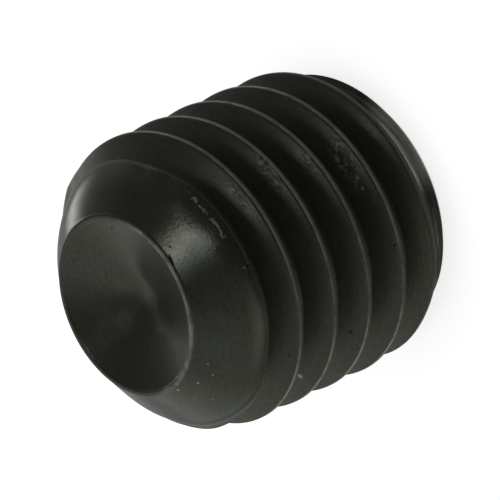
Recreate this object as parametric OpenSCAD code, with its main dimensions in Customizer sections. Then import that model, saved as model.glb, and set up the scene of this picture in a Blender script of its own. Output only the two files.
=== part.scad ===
// Grub set screw: a headless fastener with a thread over its whole length,
// a cup point at the top and a hexagon socket in the face that it stands on.
// +Z runs along the screw's axis, from the socket end to the cup point.

/* [Thread] */
// Diameter over the thread's crests, a little under the nominal 10 mm
crest_d = 9.76; // [9.73:0.01:9.97]
// Rise of the thread in one turn
pitch = 1.5; // [1.25:0.05:1.75]
// Angle round the axis at which the groove's middle leaves the socket end
groove_start_a = 119.5; // [0:0.5:360]
// Distance below the cup's rim at which the groove starts to fade
fade_drop = 1.4; // [1:0.05:2.5]
// Angle round the axis over which the groove fades out
fade_a = 150; // [60:10:300]

/* [Body] */
// Length from the socket end to the cup's rim
length = 10; // [10:0.5:40]
// Diameter of the flat ring round the socket
end_face_d = 7.8; // [7.2:0.1:8.6]
// Height of the steep chamfer at the socket end
chamfer_h = 0.63; // [0.3:0.01:0.8]
// Steepness of that chamfer, measured from the axis
chamfer_a = 45; // [40:1:50]
// Height over which the last crests fill out to their full diameter
fill_h = 1.3; // [0.8:0.1:2]

/* [Cup point] */
// Diameter of the cup's rim
rim_d = 5.74; // [5.4:0.02:6.2]
// Width of the narrow flat on the rim
rim_w = 0.1; // [0.05:0.01:0.2]
// Included angle of the cone outside the cup
point_a = 106; // [100:1:112]
// How far that cone leans off the screw's axis
lean_a = 7; // [0:0.5:8]
// Angle round the axis of the side that the lean makes steepest
lean_side_a = 120; // [0:5:355]
// Radius that rounds the cone into the first crest
shoulder_r = 1; // [0.6:0.05:1.2]
// Included angle of the cup
cup_a = 132; // [120:1:140]
// Radius that softens the bottom of the cup
cup_floor_r = 0.6; // [0.2:0.05:1]

/* [First crest] */
// Diameter that the first crest has filled out to
first_crest_d = 9.22; // [9:0.02:9.76]
// How far the first crest lies off the screw's axis
first_crest_off = 0.27; // [0:0.01:0.3]
// Angle round the axis of the side where the first crest is fullest
first_crest_side_a = 285; // [0:5:355]
// Distance below the cup's rim at which the first crest ends
first_crest_drop = 1.7; // [1.6:0.05:1.9]

/* [Hexagon socket] */
// Width across the flats
hex_af = 5.03; // [5:0.01:5.1]
// Depth of the flats
hex_depth = 4.6; // [3:0.1:5]
// Diameter of the bevel at the socket's mouth
mouth_d = 6.1; // [5.9:0.05:6.6]
// Included angle of that bevel
mouth_a = 120; // [90:5:130]
// Included angle of the cone under the flats
drill_a = 120; // [110:1:130]

/* [Hidden] */

finish = "#3b3c39";
// How far a cutting shape reaches past the face that it cuts
past = 0.5;
// Segments round the turned shapes, and facets of the groove in one turn
round_fn = 180;
groove_fn = 72;
arc_steps = 4;

crest_r = crest_d/2;
rim_r = rim_d/2;
end_face_r = end_face_d/2;

// Basic profile of a metric thread: 60 degrees between flanks, a crest flat
// of an eighth of the pitch and a root rounded to a sixth of the full height
flank_a = 30;
full_v_h = pitch/2/tan(flank_a);
crest_flat = pitch/8;
root_round = full_v_h/6;
v_half_w = (pitch - crest_flat)/2;
v_tip_r = crest_r - v_half_w/tan(flank_a);
root_arc_r = v_tip_r + root_round/sin(flank_a);
groove_depth = crest_r - root_arc_r + root_round;
// The groove's open side lies this far outside the crest
groove_past = pitch/20;

// Where the groove starts, begins to fade and ends, as angles round the axis
groove_first_a = groove_start_a - 360*(v_half_w + past)/pitch;
fade_start_a = groove_start_a + 360*(length - fade_drop)/pitch;
groove_last_a = fade_start_a + fade_a;
groove_steps = ceil((groove_last_a - groove_first_a)*groove_fn/360);

// A point on an arc round a centre in the radius-height plane
function arc_point(centre, r, a) = centre + r*[cos(a), sin(a)];

// Section of the groove in the radius-height plane, moved outwards by lift
function groove_section(lift) = concat(
    [[crest_r + groove_past + lift, -v_half_w - groove_past*tan(flank_a)]],
    [for (i = [0:arc_steps - 1])
        arc_point([root_arc_r + lift, 0], root_round,
            270 - flank_a - i*(180 - 2*flank_a)/(arc_steps - 1))],
    [[crest_r + groove_past + lift, v_half_w + groove_past*tan(flank_a)]]);

// How far the groove has risen out of the body at an angle round the axis
function groove_lift(a) =
    (groove_depth + groove_past)*max(0, (a - fade_start_a)/fade_a);

// One section of the groove, turned to its angle and raised to its height
function groove_ring(a) = [for (p = groove_section(groove_lift(a)))
    [p.x*cos(a), p.x*sin(a), p.y + pitch*(a - groove_start_a)/360]];

// The helical groove between the crests, as one closed swept body
module thread_groove() {
    side = arc_steps + 2;
    step_a = (groove_last_a - groove_first_a)/groove_steps;
    points = [for (i = [0:groove_steps]) each groove_ring(groove_first_a + i*step_a)];
    last = groove_steps*side;
    walls = [for (i = [0:groove_steps - 1], j = [0:side - 1])
        let (a = i*side + j, b = i*side + (j + 1)%side)
        each [[a, b + side, b], [a, a + side, b + side]]];
    start_cap = [for (j = [0:side - 1]) j];
    end_cap = [for (j = [side - 1:-1:0]) last + j];
    polyhedron(points, concat(walls, [start_cap, end_cap]));
}

// The turned blank, with the chamfer and the fill of its socket end
module blank() {
    chamfer_r = end_face_r + chamfer_h*tan(chamfer_a);
    rotate_extrude($fn = round_fn)
        polygon([[0, 0], [end_face_r, 0], [chamfer_r, chamfer_h],
            [crest_r, chamfer_h + fill_h], [crest_r, length], [0, length]]);
}

// The cone outside the cup: it leans, and meets the rim's plane in a ring
// round the axis, so its tip lies off the axis on the steep side
module leaning_cone() {
    slope_a = 90 - point_a/2;
    steep = 1/tan(slope_a + lean_a);
    shallow = 1/tan(slope_a - lean_a);
    rim_out_r = rim_r + rim_w/2;
    tip_h = 2*rim_out_r/(steep + shallow);
    tip_off = tip_h*(shallow - steep)/2;
    rotate(lean_side_a)
        translate([tip_off, 0, length + tip_h])
            rotate([0, lean_a, 0])
                mirror([0, 0, 1])
                    cylinder(h = 3*length, r1 = 0, r2 = 3*length*tan(point_a/2), $fn = round_fn);
}

// What the first crest has filled out to: off the axis, rounded at the top
// and flared out into the first groove below it
module first_crest() {
    first_crest_r = first_crest_d/2;
    low_z = length - first_crest_drop;
    shoulder = [for (i = [0:arc_steps])
        arc_point([first_crest_r - shoulder_r, low_z], shoulder_r, i*point_a/2/arc_steps)];
    shoulder_top = shoulder[arc_steps];
    roof_z = shoulder_top.y + shoulder_top.x/tan(point_a/2);
    outside_r = crest_r + 2*first_crest_off + past;
    rotate(first_crest_side_a)
        translate([first_crest_off, 0, 0])
            rotate_extrude($fn = round_fn)
                polygon(concat(
                    [[0, -past], [outside_r, -past],
                        [outside_r, low_z - (outside_r - first_crest_r)/2]],
                    shoulder,
                    [[0, roof_z]]));
}

// The outside of the screw before the thread and the holes are cut
module outside() {
    intersection() {
        blank();
        leaning_cone();
        first_crest();
    }
}

// The shallow cup, with a softened bottom
module cup() {
    half_a = cup_a/2;
    mouth_r = rim_r - rim_w/2;
    depth = mouth_r/tan(half_a);
    floor_z = length - depth + cup_floor_r/sin(half_a);
    floor_arc = [for (i = [0:arc_steps])
        arc_point([0, floor_z], cup_floor_r, 270 + i*(90 - half_a)/arc_steps)];
    rotate_extrude($fn = round_fn)
        polygon(concat(floor_arc,
            [[mouth_r + past*tan(half_a), length + past], [0, length + past]]));
}

// The hexagon socket, with its mouth bevel and the cone under the flats
module hex_socket() {
    corner_r = hex_af/2/cos(30);
    bevel_slope = tan(mouth_a/2);
    bevel_h = mouth_d/2/bevel_slope;
    cone_h = hex_af/2/tan(drill_a/2);
    translate([0, 0, -past])
        cylinder(h = hex_depth + past, r = corner_r, $fn = 6);
    translate([0, 0, -past])
        cylinder(h = bevel_h + past, r1 = (bevel_h + past)*bevel_slope, r2 = 0,
            $fn = round_fn);
    translate([0, 0, hex_depth])
        cylinder(h = cone_h, d1 = hex_af, d2 = 0, $fn = round_fn);
}

module set_screw() {
    color(finish)
        difference() {
            outside();
            thread_groove();
            cup();
            hex_socket();
        }
}

set_screw();
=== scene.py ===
"""Visual model of a grub set screw in black oxide steel, with its stage and camera."""
import logging
import math
from dataclasses import dataclass, field, replace
from enum import Enum
from functools import partial
from typing import Sequence

import bmesh
import bpy
from mathutils import Matrix, Vector


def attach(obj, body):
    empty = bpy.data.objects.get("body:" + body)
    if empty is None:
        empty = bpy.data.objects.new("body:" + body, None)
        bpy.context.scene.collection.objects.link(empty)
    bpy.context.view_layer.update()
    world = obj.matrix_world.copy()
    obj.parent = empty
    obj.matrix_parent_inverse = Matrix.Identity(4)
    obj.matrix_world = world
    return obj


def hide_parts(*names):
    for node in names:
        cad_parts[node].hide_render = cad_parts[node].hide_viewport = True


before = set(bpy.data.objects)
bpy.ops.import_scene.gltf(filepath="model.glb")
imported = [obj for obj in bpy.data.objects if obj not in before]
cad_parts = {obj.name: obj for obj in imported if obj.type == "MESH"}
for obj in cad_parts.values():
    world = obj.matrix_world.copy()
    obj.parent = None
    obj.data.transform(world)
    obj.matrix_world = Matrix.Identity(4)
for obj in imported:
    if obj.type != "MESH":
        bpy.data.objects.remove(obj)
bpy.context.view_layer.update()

LOG = logging.getLogger("set_screw")
MM = 0.001
TURN = 2 * math.pi
AXIS = Vector((0, 0, 1))
# Vertices nearer to each other than this, in mm, are one
MERGE = 0.0005
WHITE = "#ffffff"
# Settings of a Map Range node that eases between its ends
EASED = {"interpolation_type": "SMOOTHSTEP"}

Tree = bpy.types.NodeTree
Socket = bpy.types.NodeSocket
Triple = tuple[float, float, float]
Stations = tuple[tuple[float, float], ...]
Profile = list[tuple[float, float]]


class Cut(Enum):
    """What a cutting mesh does to the other."""

    KEEP_COMMON = "INTERSECT"
    TAKE_AWAY = "DIFFERENCE"
    JOIN = "UNION"


def linear(hex_colour: str) -> tuple[float, float, float, float]:
    """Turn an sRGB hex colour into a linear one.

    Args:
        hex_colour: Six hex digits after a #.

    Returns:
        Linear red, green and blue, and an alpha of 1.
    """
    digits = hex_colour.lstrip("#")
    parts = [int(digits[i:i + 2], 16) / 255 for i in (0, 2, 4)]
    return (*(p / 12.92 if p <= 0.04045 else ((p + 0.055) / 1.055) ** 2.4 for p in parts), 1.0)


def smooth_step(low: float, high: float, value: float) -> float:
    """Rise smoothly from 0 at low to 1 at high."""
    t = min(max((value - low) / (high - low), 0.0), 1.0)
    return t * t * (3 - 2 * t)


def smooth_min(a: float, b: float, width: float) -> float:
    """Take the smaller of two values, rounding the change-over by width."""
    h = max(width - abs(a - b), 0.0) / width
    return min(a, b) - h * h * width / 4


def eased(stations: Stations, angle_deg: float) -> float:
    """Ease between the values of stations round the axis.

    Args:
        stations: Pairs of an angle in degrees, from -180 to 180, and a value.
        angle_deg: Any angle.

    Returns:
        The value at that angle.
    """
    turned = (angle_deg + 180) % 360 - 180
    for (low, at_low), (high, at_high) in zip(stations, stations[1:]):
        if low <= turned <= high:
            return at_low + (at_high - at_low) * smooth_step(low, high, turned)
    return stations[0][1]


def between(start: tuple[float, float], end: tuple[float, float], shares: Sequence[float]) -> Profile:
    """Give the points at some shares of the way from one profile point to another."""
    return [(start[0] + (end[0] - start[0]) * t, start[1] + (end[1] - start[1]) * t) for t in shares]


def arc(centre: tuple[float, float], radius: float, first_deg: float, last_deg: float,
        steps: int) -> Profile:
    """Give the points of an arc in the radius-height plane."""
    angles = (math.radians(first_deg + (last_deg - first_deg) * i / steps) for i in range(steps + 1))
    return [(centre[0] + radius * math.cos(a), centre[1] + radius * math.sin(a)) for a in angles]


def profile_wire(bm: bmesh.types.BMesh, points: Profile) -> list:
    """Draw an open line through radius-height points in the XZ plane.

    Args:
        bm: The bmesh that the line goes into.
        points: The line's points.

    Returns:
        The line's vertices and edges, as spin takes them.
    """
    verts = [bm.verts.new((r, 0, z)) for r, z in points]
    edges = [bm.edges.new(pair) for pair in zip(verts, verts[1:])]
    return verts + edges


def new_object(name: str, bm: bmesh.types.BMesh) -> bpy.types.Object:
    """Turn a bmesh into a linked object at the origin and free the bmesh.

    Args:
        name: The name of the object and of its mesh.
        bm: The bmesh.

    Returns:
        The object.
    """
    mesh = bpy.data.meshes.new(name)
    bm.to_mesh(mesh)
    bm.free()
    item = bpy.data.objects.new(name, mesh)
    bpy.context.scene.collection.objects.link(item)
    return item


def apply_cut(body: bpy.types.Object, tool: bpy.types.Object, cut: Cut) -> None:
    """Cut a body with a closed tool mesh for good, and delete the tool.

    Args:
        body: The object that is cut.
        tool: The object that cuts it.
        cut: What the tool does.
    """
    modifier = body.modifiers.new("cut", "BOOLEAN")
    modifier.operation = cut.value
    modifier.solver = "MANIFOLD"
    modifier.object = tool
    graph = bpy.context.evaluated_depsgraph_get()
    result = bpy.data.meshes.new_from_object(body.evaluated_get(graph))
    body.modifiers.remove(modifier)
    body.data = result
    bpy.data.objects.remove(tool)


def add_node(tree: Tree, kind: str, inputs: Sequence | dict = (), out: int | str = 0,
             **settings: object) -> Socket | None:
    """Add a shader node with its settings and links.

    Args:
        tree: The node tree that the node goes into.
        kind: The node's type, without the leading ShaderNode.
        inputs: Values or sockets for the node's inputs, in order, or by name or index.
        out: The output that is wanted.
        settings: Attributes to set on the node.

    Returns:
        That output, or None where the node has no output.
    """
    node = tree.nodes.new("ShaderNode" + kind)
    for name, value in settings.items():
        setattr(node, name, value)
    for key, value in (inputs if isinstance(inputs, dict) else dict(enumerate(inputs))).items():
        if isinstance(value, Socket):
            tree.links.new(value, node.inputs[key])
        else:
            node.inputs[key].default_value = value
    return node.outputs[out] if node.outputs else None


@dataclass(frozen=True)
class ThreadForm:
    """The rolled thread's sizes in mm: 60 degrees between flanks, round root, narrow crest."""

    crest_r: float = 4.88
    pitch: float = 1.5
    flank_deg: float = 30.0
    groove_start_deg: float = 119.5
    root_round: float = 0.2165
    crest_flat: float = 0.1875
    corner_round: float = 0.1
    # Rows of faces: steps of the root's and the corner's arc, and shares of the flank and the flat
    root_steps: int = 3
    corner_steps: int = 5
    flank_rows: tuple[float, ...] = (0.45, 0.85)
    flat_row: float = 0.3
    steps_per_turn: int = 480
    spare_turns: int = 1

    @property
    def depth(self) -> float:
        """Height of the crest over the rounded root."""
        return (self.pitch - self.crest_flat) / 2 / math.tan(math.radians(self.flank_deg)) - self.root_round

    @property
    def root_r(self) -> float:
        """Radius at the bottom of the groove."""
        return self.crest_r - self.depth

    def section(self) -> Profile:
        """Draw one pitch of the thread's section, from root to root.

        Returns:
            Its points, as radius and height.
        """
        half_crest = self.crest_flat / 2
        crest_z = self.pitch / 2
        lower_root = arc((self.root_r + self.root_round, 0), self.root_round, 180, 90 + self.flank_deg,
                         self.root_steps)
        flank = between(lower_root[-1], (self.crest_r, crest_z - half_crest), self.flank_rows)
        tangent = self.corner_round * math.tan(math.radians(self.flank_deg))
        corner = arc((self.crest_r - self.corner_round, crest_z - half_crest + tangent),
                     self.corner_round, self.flank_deg - 90, 0, self.corner_steps)
        rising = lower_root + flank + corner + [(self.crest_r, crest_z - half_crest * self.flat_row)]
        falling = [(r, self.pitch - z) for r, z in reversed(rising)]
        return rising + [(self.crest_r, crest_z)] + falling


@dataclass(frozen=True)
class PointForm:
    """The cup point's sizes in mm, at the top of the screw.

    Stations give a size by the angle round the axis from the camera's side, in degrees.
    """

    length: float = 10.0
    rim_r: float = 2.865
    lip_half: float = 0.1
    lip_h: float = 0.04
    lip_rows_deg: tuple[float, ...] = (-90, -60, -35, -12, 12, 35, 60, 90)
    # The cone round the cup drops by this much, and leans off the axis towards one side
    cone_drop_deg: float = 37.0
    cone_lean_deg: float = 7.0
    cone_lean_toward: float = 30.0
    cup_drop_deg: float = 21.8
    cup_floor_r: float = 1.6
    cup_floor_steps: int = 6
    cup_rows: tuple[float, ...] = (0.1, 0.25, 0.4, 0.55, 0.7, 0.85, 0.95)
    # Radius to which the first crest has filled out, and how it flares below its own height
    first_crest: Stations = (
        (-180, 4.34), (-120, 4.33), (-95, 4.5), (-47, 4.73), (-20, 4.86), (15, 4.88), (30, 4.78),
        (45, 4.46), (58, 4.34), (75, 4.38), (95, 4.40), (132, 4.30), (180, 4.34))
    first_crest_z: float = 8.3
    flare: float = 2.0
    # Width over which the cone rounds into the first crest
    shoulder_rounds: Stations = (
        (-180, 0.6), (-120, 0.3), (-60, 0.35), (-20, 0.5), (5, 0.8), (22, 1.1), (40, 0.8), (65, 0.8),
        (120, 0.9), (180, 0.6))
    # How far the flank under the first crest is raised
    groove_rise: Stations = (
        (-180, 0.0), (20, 0.0), (50, 0.12), (75, 0.05), (100, 0.1), (132, 0.25), (180, 0.0))

    @property
    def lip_z(self) -> float:
        """Height of the lip's two edges."""
        return self.length - self.lip_h

    def cup_profile(self) -> Profile:
        """Draw the cup from its middle to the lip, and over the lip.

        Returns:
            Its points, as radius and height.
        """
        lip_in = self.rim_r - self.lip_half
        over_floor = self.cup_floor_r / math.cos(math.radians(self.cup_drop_deg))
        floor_z = self.lip_z - lip_in * math.tan(math.radians(self.cup_drop_deg)) + over_floor
        floor = arc((0, floor_z), self.cup_floor_r, 270, 270 + self.cup_drop_deg, self.cup_floor_steps)
        wall = between(floor[-1], (lip_in, self.lip_z), self.cup_rows)
        angles = [math.radians(d) for d in self.lip_rows_deg]
        lip = [(self.rim_r + self.lip_half * math.sin(a), self.length - self.lip_h * (1 - math.cos(a)))
               for a in angles]
        return floor + wall + lip

    def outside_r(self, z: float, facing: float) -> float:
        """Give the radius of the cone and the first crest, rounded into each other.

        Args:
            z: Height over the socket end.
            facing: Angle round the axis from the camera's side.

        Returns:
            The radius.
        """
        lean = self.cone_lean_deg * math.cos(math.radians(facing - self.cone_lean_toward))
        drop = math.radians(self.cone_drop_deg - lean)
        cone_r = self.rim_r + self.lip_half + (self.lip_z - z) / math.tan(drop)
        crest_r = eased(self.first_crest, facing) + self.flare * max(0.0, self.first_crest_z - z)
        return smooth_min(cone_r, crest_r, eased(self.shoulder_rounds, facing))


@dataclass(frozen=True)
class SocketForm:
    """The hexagon socket's sizes in mm: prism, drill cone under it and bevelled mouth."""

    across_flats: float = 5.03
    depth: float = 4.6
    drill_h: float = 1.45
    mouth_r: float = 3.05
    mouth_h: float = 1.76
    # Share of its height by which the mouth's cone goes on below the socket end
    mouth_past: float = 0.3
    past: float = 0.5
    overlap: float = 0.001
    round_steps: int = 180

    def tool(self) -> bpy.types.Object:
        """Model what the socket takes away.

        Returns:
            The prism, joined with the drill cone and the mouth's cone.
        """
        bm = bmesh.new()
        corner_r = self.across_flats / 2 / math.cos(math.radians(30))
        bmesh.ops.create_cone(bm, cap_ends=True, segments=6, radius1=corner_r, radius2=corner_r,
                              depth=self.depth + self.past,
                              matrix=Matrix.Translation((0, 0, (self.depth - self.past) / 2)))
        prism = new_object("set_screw_hexagon", bm)
        drill = (self.across_flats / 2, self.depth - self.overlap, self.depth + self.drill_h)
        mouth = (self.mouth_r * (1 + self.mouth_past), -self.mouth_past * self.mouth_h, self.mouth_h)
        for radius, low, high in (drill, mouth):
            bm = bmesh.new()
            bmesh.ops.create_cone(bm, cap_ends=True, segments=self.round_steps, radius1=radius, radius2=0,
                                  depth=high - low, matrix=Matrix.Translation((0, 0, (low + high) / 2)))
            bmesh.ops.remove_doubles(bm, verts=bm.verts, dist=MERGE)
            apply_cut(prism, new_object("set_screw_cone", bm), Cut.JOIN)
        return prism


@dataclass
class SetScrew:
    """The whole screw: rolled thread, turned point, cup and hexagon socket, in mm."""

    thread: ThreadForm = field(default_factory=ThreadForm)
    point: PointForm = field(default_factory=PointForm)
    socket: SocketForm = field(default_factory=SocketForm)
    # The envelope's radius beside the thread, outside every crest
    body_r: float = 5.2
    body_foot: float = 0.7
    round_steps: int = 360
    end_ring_r: float = 3.9
    chamfer_h: float = 0.63
    # The last crests fill out over this height, from a share of their full height
    fill_h: float = 1.3
    fill_start: float = 0.8
    fill_least: float = 0.6
    # On some sides they fall short by as much again, below and above these heights
    short_crests: Stations = (
        (-180, 0.0), (-95, 0.0), (-62, 0.12), (-35, 0.04), (-12, 0.06), (15, 0.0), (180, 0.0))
    short_z: tuple[float, float] = (2.6, 1.7)
    short_over_root: tuple[float, float] = (0.5, 0.9)
    # The groove starts to rise out of the metal this far below the rim, over this angle
    fade_drop: float = 1.4
    fade_deg: float = 150.0
    fade_past: float = 0.1
    rise_over_root: tuple[float, float] = (0.05, 0.4)
    # Rows of faces down the cone and the first crest: distances below the lip
    shoulder_drops: tuple[float, ...] = (0.04, 0.12, *(0.2 + 0.06 * i for i in range(31)))
    shoulder_end: float = 2.01
    sharp_deg: float = 32.0

    @property
    def first_groove_deg(self) -> float:
        """Angle counted along the thread at which the first groove faces the camera."""
        return -90 + 360 * math.floor(self.point.length / self.thread.pitch)

    def build(self) -> bpy.types.Object:
        """Model the screw.

        Returns:
            The screw in metres, ready for its finish.
        """
        body = self.ribbon()
        apply_cut(body, self.envelope(), Cut.KEEP_COMMON)
        apply_cut(body, self.socket.tool(), Cut.TAKE_AWAY)
        bm = bmesh.new()
        bm.from_mesh(body.data)
        bmesh.ops.remove_doubles(bm, verts=bm.verts, dist=MERGE)
        bmesh.ops.scale(bm, vec=(MM, MM, MM), verts=bm.verts)
        bmesh.ops.recalc_face_normals(bm, faces=bm.faces)
        for face in bm.faces:
            face.smooth = True
        bm.to_mesh(body.data)
        bm.free()
        body.data.set_sharp_from_angle(angle=math.radians(self.sharp_deg))
        return body

    def ribbon(self) -> bpy.types.Object:
        """Spin one turn of the thread and stack its copies.

        Returns:
            A closed body, longer than the screw at both ends.
        """
        form = self.thread
        bm = bmesh.new()
        wire = profile_wire(bm, form.section())
        start = Matrix.Translation((0, 0, -form.spare_turns * form.pitch)) @ Matrix.Rotation(
            math.radians(form.groove_start_deg), 4, "Z")
        bmesh.ops.transform(bm, matrix=start, verts=bm.verts)
        bmesh.ops.spin(bm, geom=wire, cent=(0, 0, 0), axis=AXIS, angle=TURN, steps=form.steps_per_turn,
                       dvec=(0, 0, form.pitch / form.steps_per_turn))
        first_turn = list(bm.verts) + list(bm.edges) + list(bm.faces)
        turns = math.ceil(self.point.length / form.pitch) + 2 * form.spare_turns
        for turn in range(1, turns):
            made = bmesh.ops.duplicate(bm, geom=first_turn)["geom"]
            copied = [g for g in made if isinstance(g, bmesh.types.BMVert)]
            bmesh.ops.translate(bm, verts=copied, vec=(0, 0, turn * form.pitch))
        bmesh.ops.remove_doubles(bm, verts=bm.verts, dist=2 * MERGE)
        self.close_ends(bm)
        for vert in bm.verts:
            if vert.co.to_2d().length > MERGE:
                self.wear_in(vert)
        bmesh.ops.recalc_face_normals(bm, faces=bm.faces)
        return new_object("set_screw_threaded", bm)

    def close_ends(self, bm: bmesh.types.BMesh) -> None:
        """Close both open ends of the ribbon with a fan to a point on the axis.

        Args:
            bm: The ribbon.
        """
        open_edges = [e for e in bm.edges if e.is_boundary]
        middle = self.point.length / 2
        for upper in (False, True):
            rim = [e for e in open_edges if (e.verts[0].co.z > middle) is upper]
            mean = sum((v.co.z for e in rim for v in e.verts)) / (2 * len(rim))
            made = bmesh.ops.extrude_edge_only(bm, edges=rim)["geom"]
            tips = [g for g in made if isinstance(g, bmesh.types.BMVert)]
            bmesh.ops.pointmerge(bm, verts=tips, merge_co=(0, 0, mean))

    def helix_angle(self, point: Vector) -> tuple[float, float]:
        """Find where a point lies on the thread.

        Args:
            point: The point, in mm.

        Returns:
            The angle in degrees, counted on over the turns, of the groove that the
            point is nearest to, and its height over that groove's middle.
        """
        form = self.thread
        angle = math.degrees(math.atan2(point.y, point.x))
        lead = point.z - form.pitch * (angle - form.groove_start_deg) / 360
        turns = round(lead / form.pitch)
        return angle + 360 * turns, lead - turns * form.pitch

    def wear_in(self, vert: bmesh.types.BMVert) -> None:
        """Shift one thread vertex: let the groove run out and the end crests fall short.

        Args:
            vert: The vertex, which is moved.
        """
        form = self.thread
        point = vert.co
        angle, over_groove = self.helix_angle(point)
        facing = angle - self.first_groove_deg
        radius = point.to_2d().length
        fade_start = form.groove_start_deg + 360 * (self.point.length - self.fade_drop) / form.pitch
        lift = (form.depth + self.fade_past) * max(0.0, (angle - fade_start) / self.fade_deg)
        filled = self.fill_start + (1 - self.fill_start) * (point.z - self.chamfer_h) / self.fill_h
        height = (radius - form.root_r) * min(1.0, max(filled, self.fill_least))
        short = eased(self.short_crests, facing) * smooth_step(*self.short_z, point.z)
        height -= short * smooth_step(*self.short_over_root, height)
        scale = (form.root_r + height + lift) / radius
        rise = eased(self.point.groove_rise, facing) if abs(facing) < 180 else 0.0
        rise *= smooth_step(*self.rise_over_root, over_groove)
        vert.co = Vector((point.x * scale, point.y * scale, point.z + rise))

    def envelope(self) -> bpy.types.Object:
        """Spin the outside that the point and the socket end are turned to.

        Returns:
            A closed body, wider than the thread between its two ends.
        """
        tip = self.point
        shoulder = [(self.body_r, tip.lip_z - drop) for drop in self.shoulder_drops]
        chamfer = [(self.body_r, self.chamfer_h + self.body_foot),
                   (self.end_ring_r + self.chamfer_h, self.chamfer_h), (self.end_ring_r, 0), (0, 0)]
        bm = bmesh.new()
        wire = profile_wire(bm, tip.cup_profile() + shoulder + chamfer)
        bmesh.ops.spin(bm, geom=wire, cent=(0, 0, 0), axis=AXIS, angle=TURN, steps=self.round_steps,
                       use_merge=True)
        bmesh.ops.remove_doubles(bm, verts=bm.verts, dist=MERGE)
        for vert in bm.verts:
            radius = vert.co.to_2d().length
            if radius > self.thread.crest_r and vert.co.z > tip.lip_z - self.shoulder_end:
                facing = math.degrees(math.atan2(vert.co.y, vert.co.x)) + 90
                scale = min(tip.outside_r(vert.co.z, facing), self.body_r) / radius
                vert.co = Vector((vert.co.x * scale, vert.co.y * scale, vert.co.z))
        bmesh.ops.recalc_face_normals(bm, faces=bm.faces)
        return new_object("set_screw_envelope", bm)


@dataclass(frozen=True)
class Place:
    """Where a point lies on the screw, as sockets in mm and degrees."""

    point: Socket
    round_x: Socket
    round_y: Socket
    height: Socket
    radius: Socket
    facing: Socket
    # Height over the middle of the nearest crest
    across: Socket


@dataclass(frozen=True)
class Cloud:
    """A noise that breaks up the finish: its name, the size of a lump in mm, and its detail.

    One with a stretch runs round the axis instead: a radian is that many mm, and the
    coordinate across it is the sum of the named ones.
    """

    name: str
    size: float
    detail: float = 2.0
    stretch: float = 0.0
    across: tuple[str, ...] = ()
    roughness: float = 0.6

    def build(self, tree: Tree, place: Place) -> Socket:
        """Make the noise.

        Args:
            tree: The finish's node tree.
            place: Where the surface point lies.

        Returns:
            The noise, from 0 to 1.
        """
        add = partial(add_node, tree)
        where = place.point
        if self.across:
            around = [add("Math", (side, self.stretch), operation="MULTIPLY")
                      for side in (place.round_x, place.round_y)]
            other = getattr(place, self.across[0])
            for name in self.across[1:]:
                other = add("Math", (other, getattr(place, name)), operation="ADD")
            where = add("CombineXYZ", (*around, other))
        settings = {"Vector": where, "Scale": 1 / self.size, "Detail": self.detail,
                    "Roughness": self.roughness}
        return add("TexNoise", settings, out="Fac", noise_dimensions="3D")


@dataclass(frozen=True)
class Breakup:
    """What a noise lets through: the noise's two ends, and the share at each."""

    cloud: str
    low: float
    high: float
    least: float = 0.0
    most: float = 1.0

    def share(self, tree: Tree, clouds: dict[str, Socket]) -> Socket:
        """Map the noise onto the share."""
        ends = (self.low, self.high, self.least, self.most)
        return add_node(tree, "MapRange", (clouds[self.cloud], *ends), **EASED)

    def apply(self, tree: Tree, mask: Socket, clouds: dict[str, Socket]) -> Socket:
        """Break up a mask with the share."""
        return add_node(tree, "Math", (mask, self.share(tree, clouds)), operation="MULTIPLY")


@dataclass(frozen=True)
class Zone:
    """A part of the surface: the low end, high end and soft margin of each range that bounds it."""

    facing: Triple | None = None
    height: Triple | None = None
    radius: Triple | None = None
    across: Triple | None = None
    breakup: Breakup | None = None

    def mask(self, tree: Tree, place: Place, clouds: dict[str, Socket]) -> Socket:
        """Mask that is 1 in the zone and eases to 0 over its margins.

        Args:
            tree: The finish's node tree.
            place: Where the surface point lies.
            clouds: The finish's noises by name.

        Returns:
            The mask, broken up where the zone says so.
        """
        mask: Socket | float = 1.0
        for name in ("facing", "height", "radius", "across"):
            bounds = getattr(self, name)
            if bounds is not None:
                value = getattr(place, name)
                low, high, soft = bounds
                mask = add_node(tree, "MapRange", (value, low - soft, low, 0.0, mask), **EASED)
                mask = add_node(tree, "MapRange", (value, high, high + soft, mask, 0.0), **EASED)
        return self.breakup.apply(tree, mask, clouds) if self.breakup else mask


class MarkKind(Enum):
    """What a small mark on the surface is, with its colour and how far it stands out."""

    # Pits and slits are dented, and their dark colours are painted shade in the hollows
    SHADED_PIT = ("#35322c", -0.5)
    CHIP = ("#96948b", 0.3)
    # Flakes are scaly and raised; their pale colour is painted glints of the lamp
    FLAKES_AND_GLINTS = ("#b5b3aa", 0.4)
    RUST = ("#6c4937", 0.2)
    STAIN = ("#5a5247", 0.0)
    SMEAR = ("#7f7d73", 0.0)
    SHADED_SLIT = ("#201f1c", -0.8)

    def __init__(self, colour: str, lift: float) -> None:
        """Keep the kind's colour and its lift."""
        self.colour = colour
        self.lift = lift


@dataclass(frozen=True)
class Mark:
    """One small mark: its kind, its place in mm, its reach along x, y and z, and its strength."""

    kind: MarkKind
    place: Triple
    reach: Triple
    strength: float = 1.0
    ragged: float = 0.5
    edge: tuple[float, float] = (0.6, 1.3)

    def mask(self, tree: Tree, point: Socket, cloud: Socket) -> Socket:
        """Mask the mark, with a ragged edge.

        Args:
            tree: The finish's node tree.
            point: The surface point in mm.
            cloud: Noise that breaks up the edge.

        Returns:
            The mask.
        """
        shift = add_node(tree, "VectorMath", (point, self.place), operation="SUBTRACT")
        scaled = add_node(tree, "VectorMath", (shift, self.reach), operation="DIVIDE")
        away = add_node(tree, "VectorMath", (scaled,), out="Value", operation="LENGTH")
        away = add_node(tree, "Math", (cloud, self.ragged, away), operation="MULTIPLY_ADD")
        return add_node(tree, "MapRange", (away, *self.edge, self.strength, 0.0), **EASED)


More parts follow.
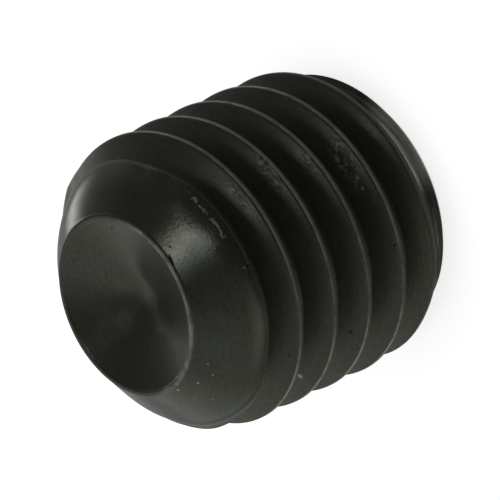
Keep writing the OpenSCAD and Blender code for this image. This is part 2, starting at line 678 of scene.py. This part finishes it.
@dataclass(frozen=True)
class BlackOxide:
    """Black oxide on hardened steel: a thin magnetite film, satin, oiled and almost black.

    The eye sees a dark, faintly warm mirror, clear on the turned point and blurred on the
    rolled flanks, with paler steel where crests and edges are rubbed through. Some colours are
    painted light: painted sheen on the crests, painted glints on the flank patches, painted
    shade in pits and slits, and a partly painted reflection on the socket end. Zones of wear
    and of painted light are given in degrees from the camera's side and in mm.
    """

    film: str = "#55554b"
    cool_film: str = "#50554e"
    worn: str = "#78766c"
    # Pale steel of the burr and the lip, also laid on the crests as painted sheen
    bright_steel_and_sheen: str = "#b5b3aa"
    # Bare steel of the socket end, partly a painted reflection of the lamp
    bare_steel_and_reflection: str = "#cbcac3"
    # Roughness of the turned point, the rolled flanks and the flaked and burred places
    polish: float = 0.21
    rolled: float = 0.37
    scaly: float = 0.50
    uneven_polish: Breakup = Breakup("broad", 0.3, 0.7, -0.03, 0.05)
    # The grain, the lay and the streaks are finer in life, and drawn as coarse as they need to show
    clouds: tuple[Cloud, ...] = (
        Cloud("broad", 1.3), Cloud("patchy", 0.45), Cloud("grain", 0.11, 3.0), Cloud("fine", 0.045, 1.0),
        # The lay of turning, the streaks of rolling and the laps of the last crest
        Cloud("lay", 0.07, stretch=0.5, across=("radius",)),
        Cloud("streaky", 0.05, stretch=1.4, across=("radius", "height")),
        Cloud("laps", 0.09, stretch=0.12, across=("across",)),
    )
    # The film is cooler in broad patches
    cool_patches: Breakup = Breakup("broad", 0.4, 0.66)
    # The colour is a little darker on the thread, and its shade changes with the grain and the lay
    thread_shade: float = 0.93
    grain_shade: Breakup = Breakup("grain", 0.3, 0.7, 0.88, 1.1)
    lay_shade: Breakup = Breakup("lay", 0.3, 0.7, -0.05, 0.05)
    # Edges are rounded by this much, and rubbed where the rounded normal turns away
    edge_mm: float = 0.03
    edge_samples: int = 6
    edge_turn: tuple[float, float] = (0.985, 0.93)
    edge_share: float = 0.5
    edge_breakup: Breakup = Breakup("patchy", 0.35, 0.6, 0.3, 0.8)
    # Breaks up the painted sheen on the crests
    sheen_breakup: Breakup = Breakup("patchy", 0.3, 0.5, 0.3)
    # Breaks the flank patches into flakes, whose pale colour is painted glints
    flake_glint_breakup: Breakup = Breakup("streaky", 0.42, 0.66)
    # How far the marks, the lay, the grain and the laps stand out, in mm
    mark_relief: float = 0.02
    lay_relief: float = 0.0012
    lap_relief: float = 0.006
    grain_relief: tuple[float, float] = (0.0022, 0.004)
    fine_relief: tuple[float, float] = (0.0010, 0.0026)
    thread_zone: Zone = Zone(height=(-1.0, 8.1, 0.2))
    crest_zone: Zone = Zone(height=(-1.0, 8.1, 0.2), radius=(4.877, 6.0, 0.013), across=(0.01, 0.07, 0.03))
    # Sides on which the crests get a painted sheen, fainter on the upper side
    lower_sheen_side: Zone = Zone(facing=(-200.0, -70.0, 35.0))
    upper_sheen_side: Zone = Zone(facing=(75.0, 200.0, 30.0))
    upper_sheen_share: float = 0.7
    burr_zone: Zone = Zone(facing=(10.0, 31.0, 3.0), height=(9.10, 9.12, 0.025),
                           breakup=Breakup("patchy", 0.36, 0.46))
    # How far the burr line wavers with the grain, in mm
    burr_waver: float = 0.16
    scuff_zone: Zone = Zone(facing=(10.0, 32.0, 10.0), height=(9.1, 9.95, 0.3))
    lip_zone: Zone = Zone(facing=(-85.0, 40.0, 25.0), height=(9.94, 11.0, 0.04), radius=(2.77, 2.94, 0.03),
                          breakup=Breakup("patchy", 0.3, 0.7, 0.1, 0.45))
    lap_zone: Zone = Zone(facing=(-45.0, 60.0, 25.0), height=(0.12, 1.25, 0.1),
                          breakup=Breakup("laps", 0.5, 0.6))
    # A bare, rougher patch at the socket end; its pale colour is partly painted reflection of the lamp
    end_zone: Zone = Zone(facing=(2.0, 30.0, 14.0), height=(0.05, 1.0, 0.25),
                          breakup=Breakup("laps", 0.35, 0.6, 0.5))
    # How much of each rubbed colour and of the painted glints shows, and of the end's roughness
    flake_glint_share: float = 0.4
    burr_share: float = 0.5
    lap_share: float = 0.6
    end_rough_share: float = 0.4
    marks: tuple[Mark, ...] = (
        Mark(MarkKind.SHADED_PIT, (2.31, -0.78, 9.83), (0.07, 0.07, 0.07)),
        Mark(MarkKind.SHADED_SLIT, (0.68, -2.94, 9.95), (0.28, 0.045, 0.07)),
        Mark(MarkKind.RUST, (0.36, -2.93, 9.97), (0.07, 0.07, 0.07), 0.7),
        Mark(MarkKind.SHADED_PIT, (1.08, -3.02, 9.86), (0.05, 0.05, 0.08), 0.7),
        Mark(MarkKind.SHADED_SLIT, (-0.41, -4.76, 8.78), (0.09, 0.10, 0.12)),
        Mark(MarkKind.SHADED_PIT, (-3.43, -3.11, 7.41), (0.06, 0.06, 0.08)),
        Mark(MarkKind.SHADED_PIT, (-3.56, -2.70, 4.49), (0.10, 0.10, 0.07), 0.8),
        Mark(MarkKind.SHADED_PIT, (-1.70, -4.47, 2.94), (0.06, 0.06, 0.12)),
        Mark(MarkKind.CHIP, (-2.45, -1.58, 9.93), (0.05, 0.05, 0.05)),
        Mark(MarkKind.CHIP, (-2.65, -2.12, 9.65), (0.05, 0.05, 0.05), 0.7),
        Mark(MarkKind.CHIP, (-3.03, -1.93, 9.50), (0.05, 0.05, 0.05), 0.7),
        Mark(MarkKind.CHIP, (-3.06, -1.32, 9.67), (0.06, 0.06, 0.05)),
        Mark(MarkKind.CHIP, (-3.70, -1.12, 9.24), (0.04, 0.04, 0.05), 0.7),
        Mark(MarkKind.CHIP, (-2.80, -0.74, 9.96), (0.09, 0.12, 0.06)),
        Mark(MarkKind.CHIP, (-3.01, -0.54, 9.88), (0.06, 0.06, 0.06)),
        Mark(MarkKind.CHIP, (-4.20, -1.36, 5.97), (0.14, 0.12, 0.14)),
        Mark(MarkKind.RUST, (-4.31, -2.26, 2.71), (0.12, 0.12, 0.12), 0.7),
        Mark(MarkKind.STAIN, (3.42, -3.20, 1.78), (0.50, 0.40, 0.50), 0.8),
        Mark(MarkKind.STAIN, (1.51, -4.25, 9.07), (0.45, 0.16, 0.20), 0.8),
        Mark(MarkKind.SMEAR, (-0.40, 1.13, 9.33), (0.55, 0.35, 0.30), 0.18),
        Mark(MarkKind.SMEAR, (-1.10, -0.20, 9.32), (0.16, 0.30, 0.20), 0.25),
        Mark(MarkKind.CHIP, (-0.42, -4.66, 8.86), (0.05, 0.06, 0.09)),
        Mark(MarkKind.CHIP, (1.41, -4.14, 3.34), (0.10, 0.10, 0.08)),
        Mark(MarkKind.CHIP, (0.65, -4.49, 3.20), (0.10, 0.08, 0.08)),
        Mark(MarkKind.CHIP, (0.30, -4.51, 3.20), (0.08, 0.08, 0.08)),
    )
    # Scaly, raised patches on the flanks where the lamp is mirrored, with pale specks that are painted
    # glints
    flake_glint_patches: tuple[Mark, ...] = (
        Mark(MarkKind.FLAKES_AND_GLINTS, (1.75, -4.35, 7.66), (1.00, 0.60, 0.13), 0.6),
        Mark(MarkKind.FLAKES_AND_GLINTS, (1.95, -4.30, 6.15), (1.10, 0.60, 0.16)),
        Mark(MarkKind.FLAKES_AND_GLINTS, (1.75, -4.45, 4.62), (0.70, 0.30, 0.12), 0.6),
        Mark(MarkKind.FLAKES_AND_GLINTS, (1.35, -4.30, 3.24), (1.30, 0.60, 0.26)),
    )

    def material(self) -> bpy.types.Material:
        """Build the finish on Object coordinates.

        Returns:
            The node material.
        """
        material = bpy.data.materials.new("black_oxide_steel")
        material.use_nodes = True
        tree = material.node_tree
        tree.nodes.clear()
        place = self.place(tree)
        clouds = {cloud.name: cloud.build(tree, place) for cloud in self.clouds}
        rounded = add_node(tree, "Bevel", {"Radius": self.edge_mm * MM}, samples=self.edge_samples)
        masks = self.masks(tree, place, clouds, rounded)
        spots = [(mark, mark.mask(tree, place.point, clouds["fine"])) for mark in self.marks]
        relief = self.relief(tree, clouds, masks, spots)
        bump = add_node(tree, "Bump", {"Strength": 1.0, "Distance": MM, "Height": relief, "Normal": rounded})
        shader = add_node(tree, "BsdfPrincipled", {
            "Base Color": self.colour(tree, clouds, masks, spots), "Metallic": 1.0,
            "Roughness": self.roughness(tree, clouds, masks), "Normal": bump})
        add_node(tree, "OutputMaterial", {"Surface": shader})
        return material

    def place(self, tree: Tree) -> Place:
        """Work out where the surface point lies.

        Args:
            tree: The finish's node tree.

        Returns:
            The place, from Object coordinates.
        """
        add = partial(add_node, tree)
        form = ThreadForm()
        coords = add("TexCoord", out="Object")
        point = add("VectorMath", {0: coords, "Scale": 1 / MM}, operation="SCALE")
        x, y, height = add("SeparateXYZ", (point,)).node.outputs
        y_squared = add("Math", (y, y), operation="MULTIPLY")
        radius = add("Math", (add("Math", (x, x, y_squared), operation="MULTIPLY_ADD"),), operation="SQRT")
        back_y = add("Math", (y, -1.0), operation="MULTIPLY")
        facing = add("Math", (add("Math", (x, back_y), operation="ARCTAN2"),), operation="DEGREES")
        lead = add("Math", (facing, -1 / 360, (form.groove_start_deg + 90) / 360), operation="MULTIPLY_ADD")
        lead = add("Math", (height, 1 / form.pitch, lead), operation="MULTIPLY_ADD")
        share = add("Math", (lead,), operation="FRACT")
        across = add("Math", (share, form.pitch, -form.pitch / 2), operation="MULTIPLY_ADD")
        round_x, round_y = (add("Math", (side, radius), operation="DIVIDE") for side in (x, y))
        return Place(point, round_x, round_y, height, radius, facing, across)

    def masks(self, tree: Tree, place: Place, clouds: dict[str, Socket],
              rounded: Socket) -> dict[str, Socket]:
        """Make the masks of the worn places and of the painted sheen and glints.

        Args:
            tree: The finish's node tree.
            place: Where the surface point lies.
            clouds: The finish's noises by name.
            rounded: The normal with its edges rounded.

        Returns:
            The masks by name.
        """
        add = partial(add_node, tree)
        zones = {"thread": self.thread_zone, "crest": self.crest_zone, "scuff": self.scuff_zone,
                 "lip": self.lip_zone, "lap": self.lap_zone, "end": self.end_zone}
        masks = {name: zone.mask(tree, place, clouds) for name, zone in zones.items()}
        waver = add("Math", (clouds["grain"], clouds["patchy"]), operation="ADD")
        wavering = replace(place, height=add("Math", (waver, self.burr_waver, place.height),
                                             operation="MULTIPLY_ADD"))
        masks["burr"] = self.burr_zone.mask(tree, wavering, clouds)
        # Edges show where the rounded normal turns away from the surface's own
        own = add("NewGeometry", out="Normal")
        agree = add("VectorMath", (rounded, own), out="Value", operation="DOT_PRODUCT")
        edge = add("MapRange", (agree, *self.edge_turn, 0.0, self.edge_share), **EASED)
        rub = add("Math", (masks["crest"], edge), operation="MAXIMUM")
        masks["rub"] = self.edge_breakup.apply(tree, rub, clouds)
        # Painted sheen: the crests are painted brightest on the sides that curve away from the camera
        upper = add("Math", (self.upper_sheen_side.mask(tree, place, clouds), self.upper_sheen_share),
                    operation="MULTIPLY")
        sides = add("Math", (self.lower_sheen_side.mask(tree, place, clouds), upper), operation="MAXIMUM")
        low_rub = add("Math", (masks["crest"], sides), operation="MULTIPLY")
        masks["low_rub"] = self.sheen_breakup.apply(tree, low_rub, clouds)
        patches: Socket | float = 0.0
        for mark in self.flake_glint_patches:
            patch = mark.mask(tree, place.point, clouds["grain"])
            patches = add("Math", (patches, patch), operation="MAXIMUM")
        masks["patches"] = patches
        # Flakes on the patches, pale as painted glints
        masks["flakes"] = self.flake_glint_breakup.apply(tree, patches, clouds)
        return masks

    def colour(self, tree: Tree, clouds: dict[str, Socket], masks: dict[str, Socket],
               spots: list[tuple[Mark, Socket]]) -> Socket:
        """Lay the worn colours, the painted sheen, glints and reflection, and the marks, with painted shade
        in pits and slits, over the film.

        Args:
            tree: The finish's node tree.
            clouds: The finish's noises by name.
            masks: The masks of the worn places and of the painted light by name.
            spots: The marks and their masks.

        Returns:
            The base colour.
        """
        add = partial(add_node, tree)
        cool = self.cool_patches.share(tree, clouds)
        film = add("Mix", {0: cool, 6: linear(self.film), 7: linear(self.cool_film)}, out=2,
                   data_type="RGBA")
        shades = (self.grain_shade.share(tree, clouds), self.lay_shade.share(tree, clouds))
        shade = add("Math", shades, operation="ADD")
        darker = add("MapRange", (masks["thread"], 0.0, 1.0, 1.0, self.thread_shade), **EASED)
        shade = add("Math", (shade, darker), operation="MULTIPLY")
        colour = add("VectorMath", {0: film, "Scale": shade}, operation="SCALE")
        # Rubbed crests and edges in worn colour, then the painted sheen on the crests in pale steel
        layers = [(masks["rub"], 1.0, self.worn), (masks["low_rub"], 1.0, self.bright_steel_and_sheen),
                  # Painted glints on the scaly flank patches
                  (masks["flakes"], self.flake_glint_share, MarkKind.FLAKES_AND_GLINTS.colour),
                  (masks["burr"], self.burr_share, self.bright_steel_and_sheen),
                  (masks["lip"], 1.0, self.bright_steel_and_sheen), (masks["lap"], self.lap_share, self.worn),
                  # Bare steel at the socket end, partly painted reflection of the lamp
                  (masks["end"], 1.0, self.bare_steel_and_reflection)]
        # The marks' own colours, with painted shade in the pits and slits
        layers += [(spot, 1.0, mark.kind.colour) for mark, spot in spots]
        for mask, share, over in layers:
            amount = mask if share == 1.0 else add("Math", (mask, share), operation="MULTIPLY")
            colour = add("Mix", {0: amount, 6: colour, 7: linear(over)}, out=2, data_type="RGBA")
        return colour

    def roughness(self, tree: Tree, clouds: dict[str, Socket], masks: dict[str, Socket]) -> Socket:
        """Give the roughness: smooth point, satin flanks, rougher worn places.

        Args:
            tree: The finish's node tree.
            clouds: The finish's noises by name.
            masks: The masks of the worn places and of the painted light by name.

        Returns:
            The roughness.
        """
        add = partial(add_node, tree)
        rough = add("MapRange", (masks["thread"], 0.0, 1.0, self.polish, self.rolled), **EASED)
        rough = add("Math", (rough, self.uneven_polish.share(tree, clouds)), operation="ADD")
        scaly = add("Math", (masks["patches"], masks["burr"]), operation="MAXIMUM")
        end = add("Math", (masks["end"], self.end_rough_share), operation="MULTIPLY")
        scaly = add("Math", (scaly, end), operation="MAXIMUM")
        return add("Mix", {0: scaly, 2: rough, 3: self.scaly}, data_type="FLOAT")

    def relief(self, tree: Tree, clouds: dict[str, Socket], masks: dict[str, Socket],
               spots: list[tuple[Mark, Socket]]) -> Socket:
        """Add up the fine relief.

        Args:
            tree: The finish's node tree.
            clouds: The finish's noises by name.
            masks: The masks of the worn places and of the painted light by name.
            spots: The marks and their masks.

        Returns:
            The height over the smooth surface, in mm.
        """
        add = partial(add_node, tree)
        grain = add("MapRange", (masks["scuff"], 0.0, 1.0, *self.grain_relief), **EASED)
        fine = add("MapRange", (masks["scuff"], 0.0, 1.0, *self.fine_relief), **EASED)
        flakes = add("Math", (masks["flakes"], masks["burr"]), operation="MAXIMUM")
        layers = [(clouds["grain"], grain), (clouds["fine"], fine), (clouds["lay"], self.lay_relief),
                  (flakes, MarkKind.FLAKES_AND_GLINTS.lift * self.mark_relief), (masks["lap"], self.lap_relief)]
        layers += [(spot, mark.kind.lift * self.mark_relief) for mark, spot in spots]
        relief: Socket | float = 0.0
        for layer, lift in layers:
            relief = add("Math", (layer, lift, relief), operation="MULTIPLY_ADD")
        return relief


@dataclass(frozen=True)
class SoftLight:
    """One soft patch of light in the room, as the polished metal mirrors it."""

    name: str
    toward: Triple
    width_deg: float
    strength: float


@dataclass(frozen=True)
class Studio:
    """A white floor, a dim room with soft patches of light, and one soft lamp overhead."""

    floor_r: float = 0.08
    floor_steps: int = 96
    floor_card: str = "#b0b0b0"
    floor_seen: float = 0.75
    floor_mirrored: float = 0.32
    lamp_toward: Triple = (0.24, -0.11, 0.965)
    lamp_aim: Triple = (0.0, 0.0, 0.01)
    lamp_far: float = 0.30
    lamp_size: float = 0.088
    lamp_power: float = 0.042
    lamp_tint: Triple = (0.90, 0.93, 1.0)
    # Strength of the world: in the metal away from the patches, on the object, and to the camera
    room: float = 0.05
    fill: float = 0.8
    backdrop: float = 1.0
    lights: tuple[SoftLight, ...] = (
        SoftLight("window behind", (-0.60, 0.80, 0.0), 34, 0.64),
        SoftLight("lit gap behind", (0.41, 0.91, -0.05), 6, 2.7),
        SoftLight("wall behind", (0.80, 0.58, 0.10), 14, 0.22),
        SoftLight("sheet over the wall behind", (-0.05, 0.69, 0.72), 11, 0.30),
        SoftLight("ceiling round the lamp", (0.25, 0.0, 0.97), 13, 0.07),
        SoftLight("wall on the right", (0.89, 0.0, 0.45), 24, 0.06),
        SoftLight("wall on the left", (-0.81, -0.30, 0.50), 16, 0.41),
        SoftLight("ceiling on the left", (-0.43, 0.31, 0.85), 11, 0.25),
        SoftLight("ceiling in front", (-0.52, -0.42, 0.74), 13, 0.16),
    )

    def build(self) -> None:
        """Make the floor, the lamp and the world."""
        self.floor()
        self.lamp()
        self.world()

    def floor(self) -> None:
        """Lay a round white floor under the screw, with a level of its own in the metal."""
        bm = bmesh.new()
        bmesh.ops.create_circle(bm, cap_ends=True, segments=self.floor_steps, radius=self.floor_r)
        item = new_object("floor", bm)
        material = bpy.data.materials.new("white_card")
        material.use_nodes = True
        material.node_tree.nodes.clear()
        add = partial(add_node, material.node_tree)
        # Matte card, with a glow that lifts it to white for the camera
        matte = add("BsdfDiffuse", {"Color": linear(self.floor_card)})
        glow = add("Emission", {"Color": linear(WHITE), "Strength": self.floor_seen})
        mirrored = add("Emission", {"Color": linear(WHITE), "Strength": self.floor_mirrored})
        seen = add("AddShader", (matte, glow))
        card = add("MixShader", (add("LightPath", out="Is Glossy Ray"), seen, mirrored))
        add("OutputMaterial", {"Surface": card})
        item.data.materials.append(material)

    def lamp(self) -> None:
        """Hang the soft lamp over the screw."""
        data = bpy.data.lights.new("soft_lamp", "AREA")
        data.shape = "DISK"
        data.size = self.lamp_size
        data.energy = self.lamp_power
        data.color = self.lamp_tint
        item = bpy.data.objects.new("soft_lamp", data)
        toward = Vector(self.lamp_toward).normalized()
        item.location = toward * self.lamp_far + Vector(self.lamp_aim)
        item.rotation_euler = toward.to_track_quat("Z", "Y").to_euler()
        bpy.context.scene.collection.objects.link(item)

    def world(self) -> None:
        """Surround the screw with the room: white to the camera, soft patches to the metal."""
        world = bpy.data.worlds.new("studio")
        bpy.context.scene.world = world
        world.use_nodes = True
        world.node_tree.nodes.clear()
        add = partial(add_node, world.node_tree)
        direction = add("TexCoord", out="Generated")
        mirrored: Socket | float = self.room
        for light in self.lights:
            near = add("VectorMath", (direction, Vector(light.toward).normalized()), out="Value",
                       operation="DOT_PRODUCT")
            sharp = 1 / math.radians(light.width_deg) ** 2
            away = add("Math", (near, sharp, -sharp), operation="MULTIPLY_ADD")
            patch = add("Math", (away,), operation="EXPONENT")
            mirrored = add("Math", (patch, light.strength, mirrored), operation="MULTIPLY_ADD")
        in_metal = add("LightPath", out="Is Glossy Ray")
        to_object = add("Mix", {0: in_metal, 2: self.fill, 3: mirrored}, data_type="FLOAT")
        to_camera = add("LightPath", out="Is Camera Ray")
        strength = add("Mix", {0: to_camera, 2: to_object, 3: self.backdrop}, data_type="FLOAT")
        back = add("Background", {"Color": linear(WHITE), "Strength": strength})
        add("OutputWorld", {"Surface": back})


@dataclass(frozen=True)
class PhotoCamera:
    """The camera at the photo's angle, as fitted to the thread's helix and the cup's rim.

    The fit's unit is the crest radius. Its three views are where the screw's axis from
    the rim to the socket, the side that faces the camera and the screw's +X point, in
    right, down and forward.
    """

    crest_r: float = 4.898
    screw_top: float = 10.0
    distance: float = 50.13
    pixels_per_unit: float = 159.85
    rim_px: tuple[float, float] = (124.8, 306.0)
    frame_px: float = 500.0
    axis_view: Triple = (-0.709, 0.320, -0.628)
    down_view: Triple = (0.572, -0.259, -0.778)
    side_view: Triple = (-0.412, -0.911, 0.0)
    sensor_mm: float = 36.0
    clip_start: float = 0.01

    def build(self) -> None:
        """Create the camera and make it the scene's."""
        half = self.frame_px / 2
        scale = self.crest_r
        rim = Vector(((self.rim_px[0] - half) / self.pixels_per_unit * scale,
                      (self.rim_px[1] - half) / self.pixels_per_unit * scale, self.distance * scale))
        along = Vector(self.axis_view).normalized()
        side = Vector(self.side_view)
        side = (side - side.dot(along) * along).normalized()
        front = along.cross(side)
        if front.dot(Vector(self.down_view)) < 0:
            front.negate()
        # Columns: where the screw's +X, +Y and +Z point in right-down-forward camera axes
        to_view = Matrix((side, -front, along)).transposed()
        eye = Vector((0, 0, self.screw_top)) - to_view.transposed() @ rim
        right, down, ahead = to_view.row[0], to_view.row[1], to_view.row[2]
        turn = Matrix((right, -down, -ahead)).transposed().to_4x4()
        data = bpy.data.cameras.new("photo_camera")
        data.sensor_width = self.sensor_mm
        data.lens = self.pixels_per_unit * self.distance / self.frame_px * self.sensor_mm
        data.clip_start = self.clip_start
        camera = bpy.data.objects.new("photo_camera", data)
        camera.matrix_world = Matrix.Translation(eye * MM) @ turn
        bpy.context.scene.collection.objects.link(camera)
        bpy.context.scene.camera = camera


def main() -> None:
    """Build the camera, the stage and the screw, and report each."""
    logging.basicConfig(level=logging.INFO, format="%(name)s: %(message)s")
    bpy.context.scene.view_settings.view_transform = "Standard"
    PhotoCamera().build()
    LOG.info("camera placed")
    Studio().build()
    LOG.info("stage built")
    screw = SetScrew().build()
    screw.name = "set_screw_detailed"
    screw.data.materials.clear()
    screw.data.materials.append(BlackOxide().material())
    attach(screw, "root")
    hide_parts("set_screw")
    LOG.info("screw built: %d faces", len(screw.data.polygons))


if __name__ == "__main__":
    main()
